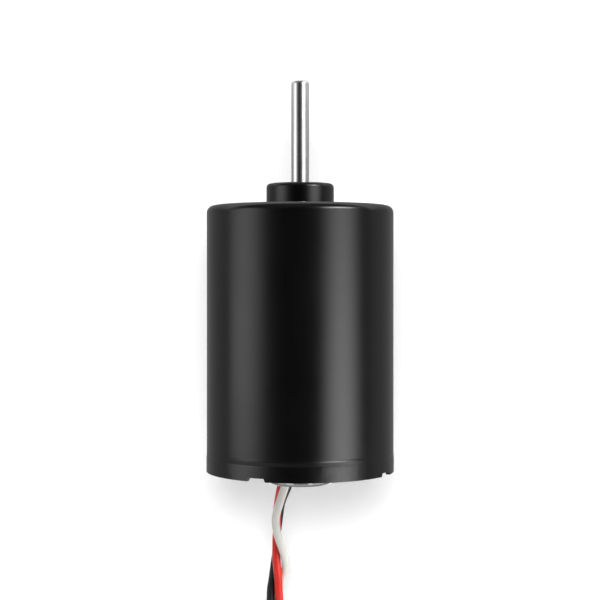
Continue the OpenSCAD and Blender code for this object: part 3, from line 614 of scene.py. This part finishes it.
# shaft: centreless ground, the lines run round it
shaftLook = {
    "colour": (0.74, 0.74, 0.745), "tint": (0.80, 0.80, 0.805), "metal": 1.0,
    "rough": (0.22, 0.27), "grain": (1500, 0.0000004), "patch": 140, "turned": (9000, 0.0000012),
    "rub": (0.15 * mm, 0.8, (0.80, 0.80, 0.80), 0.2),
}
dress("shaft_steel", makeFinish("shaftSteel", shaftLook)[0])

# bearings: ground races and balls, pressed shields and cages
raceLook = {
    "colour": (0.60, 0.61, 0.63), "tint": (0.68, 0.69, 0.70), "metal": 1.0,
    "rough": (0.12, 0.18), "grain": (1800, 0.0000003), "patch": 220, "turned": (11000, 0.0000009),
    "rub": (0.08 * mm, 0.8, (0.82, 0.82, 0.82), 0.15),
}
shieldLook = {
    "colour": (0.55, 0.55, 0.56), "tint": (0.63, 0.63, 0.64), "metal": 1.0,
    "rough": (0.24, 0.33), "grain": (2600, 0.0000008), "patch": 260, "turned": (7000, 0.0000012),
    "rub": (0.06 * mm, 0.6, (0.75, 0.75, 0.75), 0.22),
}
cageLook = {
    "colour": (0.46, 0.45, 0.42), "tint": (0.54, 0.52, 0.48), "metal": 1.0,
    "rough": (0.28, 0.40), "grain": (3200, 0.000001), "patch": 300,
    "rub": (0.05 * mm, 0.8, (0.70, 0.69, 0.66), 0.25),
}
dress("bearing_steel", makeFinish("bearingSteel", raceLook)[0])
dress("shield_steel", makeFinish("shieldSteel", shieldLook)[0])
dress("cage_steel", makeFinish("cageSteel", cageLook)[0])

# clip and wave washer: dark phosphated spring steel
springLook = {
    "colour": (0.10, 0.10, 0.105), "tint": (0.17, 0.17, 0.175), "metal": 0.9,
    "rough": (0.38, 0.52), "grain": (4200, 0.0000018), "patch": 420,
    "rub": (0.08 * mm, 1.2, (0.45, 0.45, 0.45), 0.28),
}
dress("spring_steel", makeFinish("springSteel", springLook)[0])

# rotor: turned core and spacers, plated magnets under a wound sleeve, drilled brass rings
coreLook = {
    "colour": (0.36, 0.37, 0.39), "tint": (0.44, 0.45, 0.46), "metal": 1.0,
    "rough": (0.25, 0.36), "grain": (2200, 0.0000006), "patch": 180, "turned": (3200, 0.0000030),
    "rub": (0.15 * mm, 0.8, (0.66, 0.66, 0.66), 0.25),
}
magnetLook = {
    "colour": (0.26, 0.27, 0.30), "tint": (0.34, 0.35, 0.37), "metal": 1.0,
    "rough": (0.30, 0.44), "grain": (3600, 0.0000012), "patch": 240,
    "rub": (0.2 * mm, 1.0, (0.50, 0.49, 0.47), 0.3),
}
sleeveLook = {
    "colour": (0.030, 0.030, 0.030), "tint": (0.055, 0.053, 0.050), "groove": (0.012, 0.012, 0.012),
    "rough": (0.35, 0.48), "grain": (2600, 0.0000010), "patch": 200,
    "ridges": (0.45 * mm, 0.00002, 0.0, 1.0, 1.0), "coat": (0.3, 0.2),
}
ringLook = {
    "colour": (0.56, 0.42, 0.17), "tint": (0.66, 0.50, 0.22), "metal": 1.0,
    "rough": (0.20, 0.30), "grain": (2200, 0.0000005), "patch": 180, "turned": (3600, 0.0000025),
    "rub": (0.12 * mm, 0.8, (0.80, 0.66, 0.36), 0.2),
}
dress("core_steel", makeFinish("coreSteel", coreLook)[0])
dress("magnet", makeFinish("platedMagnet", magnetLook)[0])
dress("sleeve_fibre", makeFinish("sleeveFibre", sleeveLook)[0])
dress("ring_brass", makeFinish("ringBrass", ringLook)[0])

# stator: stacked sheets, moulded insulators, film liners, enamelled wire
stackLook = {
    "colour": (0.28, 0.30, 0.33), "tint": (0.38, 0.39, 0.41), "groove": (0.14, 0.15, 0.17), "metal": 0.9,
    "rough": (0.34, 0.46), "grain": (3000, 0.0000010), "patch": 200,
    "ridges": (0.35 * mm, 0.00003, 0.0, 1.0, 0.0),
}
nylonLook = {
    "colour": (0.74, 0.70, 0.58), "tint": (0.80, 0.77, 0.67),
    "rough": (0.38, 0.50), "grain": (5200, 0.0000025), "patch": 260, "under": 0.15,
    "rub": (0.2 * mm, 0.6, (0.86, 0.84, 0.76), 0.4),
}
filmLook = {
    "colour": (0.76, 0.72, 0.52), "tint": (0.84, 0.80, 0.63),
    "rough": (0.18, 0.28), "grain": (900, 0.000003), "patch": 320, "coat": (0.4, 0.1),
}
wireLook = {
    "colour": (0.40, 0.12, 0.045), "tint": (0.52, 0.19, 0.07), "groove": (0.08, 0.02, 0.01), "metal": 0.85,
    "rough": (0.20, 0.30), "grain": (2600, 0.0000010), "patch": 260,
    "ridges": (0.35 * mm, 0.00009, 1.0, 0.0, 0.0), "coat": (0.8, 0.12),
}
dress("lamination", makeFinish("stackedSheet", stackLook)[0])
dress("insulator_nylon", makeFinish("insulatorNylon", nylonLook)[0])
dress("liner_film", makeFinish("linerFilm", filmLook)[0])
dress("copper_enamel", makeFinish("enamelledWire", wireLook)[0])

# termination board and its joints
boardLook = {
    "colour": (0.018, 0.13, 0.045), "tint": (0.030, 0.19, 0.065),
    "rough": (0.22, 0.32), "grain": (1800, 0.000003), "stretch": (1.0, 0.25, 1.0), "patch": 160,
    "rub": (0.15 * mm, 0.8, (0.30, 0.30, 0.16), 0.6), "coat": (0.5, 0.15),
}
solderLook = {
    "colour": (0.56, 0.57, 0.58), "tint": (0.66, 0.67, 0.68), "metal": 1.0,
    "rough": (0.14, 0.30), "grain": (1600, 0.000008), "patch": 700,
}
dress("board_laminate", makeFinish("boardLaminate", boardLook)[0])
dress("solder", makeFinish("solder", solderLook)[0])

# grommet: moulded rubber
grommetLook = {
    "colour": (0.020, 0.020, 0.020), "tint": (0.034, 0.033, 0.032),
    "rough": (0.50, 0.66), "grain": (6000, 0.000004), "patch": 340,
    "rub": (0.2 * mm, 0.8, (0.06, 0.06, 0.06), 0.5),
}
dress("grommet_rubber", makeFinish("grommetRubber", grommetLook)[0])

# leads: extruded insulation, faintly drawn lengthwise, and tinned strands
drawnLengthwise = {"grain": (2600, 0.0000025), "stretch": (1.0, 1.0, 0.12), "patch": 190}
insulation = {
    "white": {
        "colour": (0.68, 0.66, 0.61), "tint": (0.74, 0.73, 0.69), "rough": (0.34, 0.46), "under": 0.12,
        **drawnLengthwise,
    },
    "red": {
        "colour": (0.64, 0.014, 0.006), "tint": (0.76, 0.024, 0.010), "rough": (0.28, 0.40), "under": 0.08,
        **drawnLengthwise,
    },
    "black": {
        "colour": (0.010, 0.009, 0.009), "tint": (0.018, 0.016, 0.016), "rough": (0.40, 0.52), "ior": 1.38,
        **drawnLengthwise,
    },
}
tinLook = {
    "colour": (0.60, 0.60, 0.58), "tint": (0.70, 0.70, 0.68), "metal": 1.0,
    "rough": (0.22, 0.36), "grain": (5200, 0.0000015), "patch": 900,
}
tinned = makeFinish("tinnedCopper", tinLook)[0]
dress("tinned_copper", tinned)
for colour, (lead, strands) in leads.items():
    coloured = makeFinish(colour + "Insulation", insulation[colour])[0]
    dress(colour + "_insulation", coloured)
    lead.data.materials.append(coloured)
    strands.data.materials.append(tinned)
print("finishes set")


# floor, backdrop and lights
studio = {
    "floor": -215 * mm,
    "wall": 29 * mm,  # behind the axis
    "reach": 0.45,
    "wallSize": (0.5, 0.5),  # half its width, and its top
    "aim": -30 * mm,  # the height that the lamps are turned to
    "paper": (12, 0.98),  # scale and darker tone of its mottling
    "glow": 0.36,  # of the wall, to the camera
    "floorGlow": 0.55,
    "pale": (0.80, 0.80, 0.80),
    "mirrored": 0.32,  # how bright paint and metal see them: a painted reflection
    # two glowing strips painted on the backdrop close behind, seen only in reflections: place, half width,
    # lower end, upper end and brightness
    "strips": (20 * mm, 10 * mm, -95 * mm, -8 * mm, 2.6),
    "above": (10 * mm, 95 * mm, 0.9),  # the backdrop glows brighter in reflections from here to here, a painted reflection
    "below": (-190 * mm, -214 * mm, 0.32),  # and so does the floor
    "front": 0.013,  # the dark side of the room, behind the camera
    "room": 0.18,
    "fill": 0.3,  # what matt surfaces get of it
    "frontAngle": (-3.0, 14.0, 39.0),  # middle, and where the dark begins and ends to fade, degrees
}
softboxes = {
    # azimuth from the camera's side towards +X and elevation in degrees, distance, width, height, brightness
    "rightSoftbox": (51.0, -20.0, 0.62, 0.77, 1.10, 4.85),
    "leftSoftbox": (-70.0, -2.0, 0.60, 0.84, 0.46, 1.86),
    "upperRightSoftbox": (50.0, 26.0, 0.62, 0.60, 0.24, 20.0),
    "upperLeftSoftbox": (-66.0, 15.0, 0.62, 0.60, 0.28, 1.4),
    "topSoftbox": (180.0, 78.0, 0.60, 0.70, 0.70, 0.55),
    "wallSoftbox": (0.0, 17.0, 0.80, 0.58, 0.42, 25.0),
}


def rampValue(tree, value, start, end, level, column, row):
    return addRange(tree, value, column, row, smooth=True, From_Min=start, From_Max=end, To_Max=level)


def makeStageFinish(name, ownGlow):
    # pale paper to the camera; to paint and metal a painted reflection, a glow in place of softly lit
    # surroundings
    material = bpy.data.materials.new(name)
    material.use_nodes = True
    tree = material.node_tree
    tree.nodes.clear()
    link = tree.links.new
    path = addNode(tree, "ShaderNodeLightPath", 0, 0)
    side = addNode(tree, "ShaderNodeNewGeometry", 0, 2)
    scale, darker = studio["paper"]
    paper = addNoise(tree, None, scale, 0, 4)
    tone = mixColours(tree, paper, studio["pale"], tuple(darker * part for part in studio["pale"]), 1, 4)
    matt = addNode(tree, "ShaderNodeBsdfDiffuse", 2, 4)
    link(tone, matt.inputs["Color"])
    glow = setInputs(addNode(tree, "ShaderNodeEmission", 2, 5), Strength=ownGlow)
    seen = addNode(tree, "ShaderNodeAddShader", 3, 4)
    link(matt.outputs[0], seen.inputs[0])
    link(glow.outputs[0], seen.inputs[1])
    split = addPlace(tree, -4, 6)[1]
    # painted reflections: glowing strips and bands that only paint and metal see
    middle, half, bottom, top, level = studio["strips"]
    aside = addMath(tree, "SUBTRACT", addMath(tree, "ABSOLUTE", split[0], None, -2, 6), middle, -1, 6)
    across = rampValue(tree, addMath(tree, "ABSOLUTE", aside, None, 0, 6), half, 0.0, level, 1, 6)
    over = rampValue(tree, split[2], bottom - half, bottom + half, 1.0, 1, 7)
    under = rampValue(tree, split[2], top + half, top - half, 1.0, 1, 8)
    strips = addMath(tree, "MULTIPLY", across, addMath(tree, "MULTIPLY", over, under, 2, 7), 2, 6)
    lighter = rampValue(tree, split[2], *studio["above"], 1, 9)
    ground = rampValue(tree, split[2], *studio["below"], 1, 10)
    # the whole painted reflection: strips, band above and band near the floor
    lit = addMath(tree, "ADD", strips, addMath(tree, "ADD", lighter, ground, 2, 8), 3, 8)
    mirrored = addNode(tree, "ShaderNodeEmission", 3, 6)
    link(addMath(tree, "ADD", lit, studio["mirrored"], 3, 9), mirrored.inputs["Strength"])
    toCamera = mixShaders(tree, path.outputs["Is Camera Ray"], matt.outputs[0], seen.outputs[0], 4, 4)
    glossy, through = path.outputs["Is Glossy Ray"], path.outputs["Is Transmission Ray"]
    reflected = addMath(tree, "MAXIMUM", glossy, through, 3, 1)
    toMetal = mixShaders(tree, reflected, toCamera, mirrored.outputs[0], 5, 4)
    # its far side shows nothing and stops no lamp
    clear = addNode(tree, "ShaderNodeBsdfTransparent", 5, 6)
    behind = addMath(tree, "MAXIMUM", side.outputs["Backfacing"], path.outputs["Is Shadow Ray"], 5, 1)
    last = mixShaders(tree, behind, toMetal, clear.outputs[0], 6, 4)
    link(last, addNode(tree, "ShaderNodeOutputMaterial", 7, 4).inputs["Surface"])
    return material


def makeStage(name, corners, material):
    mesh = bpy.data.meshes.new(name)
    mesh.from_pydata(corners, [], [(0, 1, 2, 3)])
    mesh.materials.append(material)
    piece = bpy.data.objects.new(name, mesh)
    scene.collection.objects.link(piece)
    return piece


reach, low, wallY = studio["reach"], studio["floor"], studio["wall"]
half, top = studio["wallSize"]
floorCorners = [(-reach, -reach, low), (reach, -reach, low), (reach, reach, low), (-reach, reach, low)]
wallCorners = [(-half, wallY, low), (half, wallY, low), (half, wallY, top), (-half, wallY, top)]
makeStage("floor", floorCorners, makeStageFinish("paleFloor", studio["floorGlow"]))
backdrop = makeStage("backdrop", wallCorners, makeStageFinish("paleWall", studio["glow"]))
wallOnly = bpy.data.collections.new("wallOnly")
allButWall = bpy.data.collections.new("allButWall")
for group, state in ((wallOnly, "INCLUDE"), (allButWall, "EXCLUDE")):
    group.objects.link(backdrop)
    group.collection_objects[0].light_linking.link_state = state


def hangSoftbox(name, azimuth, elevation, distance, width, height, brightness):
    lamp = bpy.data.lights.new(name, "AREA")
    lamp.shape = "RECTANGLE"
    lamp.size, lamp.size_y = width, height
    lamp.energy = brightness * math.pi * width * height
    # brightest in the middle, as cloth over a bulb is
    lamp.use_nodes = True
    tree = lamp.node_tree
    across = addNode(tree, "ShaderNodeNewGeometry", -4, 0)
    split = addNode(tree, "ShaderNodeSeparateXYZ", -3, 0)
    tree.links.new(across.outputs["Parametric"], split.inputs[0])
    waves = []
    for k in (0, 1):
        angle = addMath(tree, "MULTIPLY", split.outputs[k], math.pi, -2, k)
        waves.append(addMath(tree, "SINE", angle, None, -1, k))
    both = addMath(tree, "MULTIPLY", *waves, -1, 2)
    tree.links.new(addMath(tree, "MULTIPLY", both, both, -1, 3), tree.nodes["Emission"].inputs["Strength"])
    holder = bpy.data.objects.new(name, lamp)
    turn, lift = math.radians(azimuth), math.radians(elevation)
    away = Vector((math.sin(turn) * math.cos(lift), -math.cos(turn) * math.cos(lift), math.sin(lift)))
    holder.location = Vector((0, 0, studio["aim"])) + away * distance
    holder.rotation_euler = away.to_track_quat("Z", "Y").to_euler()
    holder.light_linking.receiver_collection = wallOnly if name == "wallSoftbox" else allButWall
    scene.collection.objects.link(holder)


for name, place in softboxes.items():
    hangSoftbox(name, *place)


def makeRoom():
    # white to the camera; to the motor a grey room that is dark behind the camera
    world = bpy.data.worlds.new("studioRoom")
    world.use_nodes = True
    scene.world = world
    tree = world.node_tree
    tree.nodes.clear()
    link = tree.links.new
    place = addNode(tree, "ShaderNodeTexCoord", 0, 0)
    middle, near, far = (math.radians(value) for value in studio["frontAngle"])
    toward = addNode(tree, "ShaderNodeVectorMath", 1, 0, operation="DOT_PRODUCT")
    toward.inputs[1].default_value = (math.sin(middle), -math.cos(middle), 0)
    link(place.outputs["Generated"], toward.inputs[0])
    shade = addRange(
        tree, toward.outputs["Value"], 2, 0, smooth=True, From_Min=math.cos(far), From_Max=math.cos(near),
        To_Min=studio["room"], To_Max=studio["front"],
    )
    path = addNode(tree, "ShaderNodeLightPath", 2, 2)
    matt = mixValues(tree, path.outputs["Is Diffuse Ray"], shade, studio["fill"], 3, 0)
    strength = mixValues(tree, path.outputs["Is Camera Ray"], matt, 1.0, 4, 0)
    light = setInputs(addNode(tree, "ShaderNodeBackground", 5, 0), Color=(1, 1, 1, 1))
    link(strength, light.inputs["Strength"])
    link(light.outputs[0], addNode(tree, "ShaderNodeOutputWorld", 6, 0).inputs["Surface"])


makeRoom()
scene.view_settings.view_transform = "Standard"
print("studio lit:", len(softboxes), "softboxes")
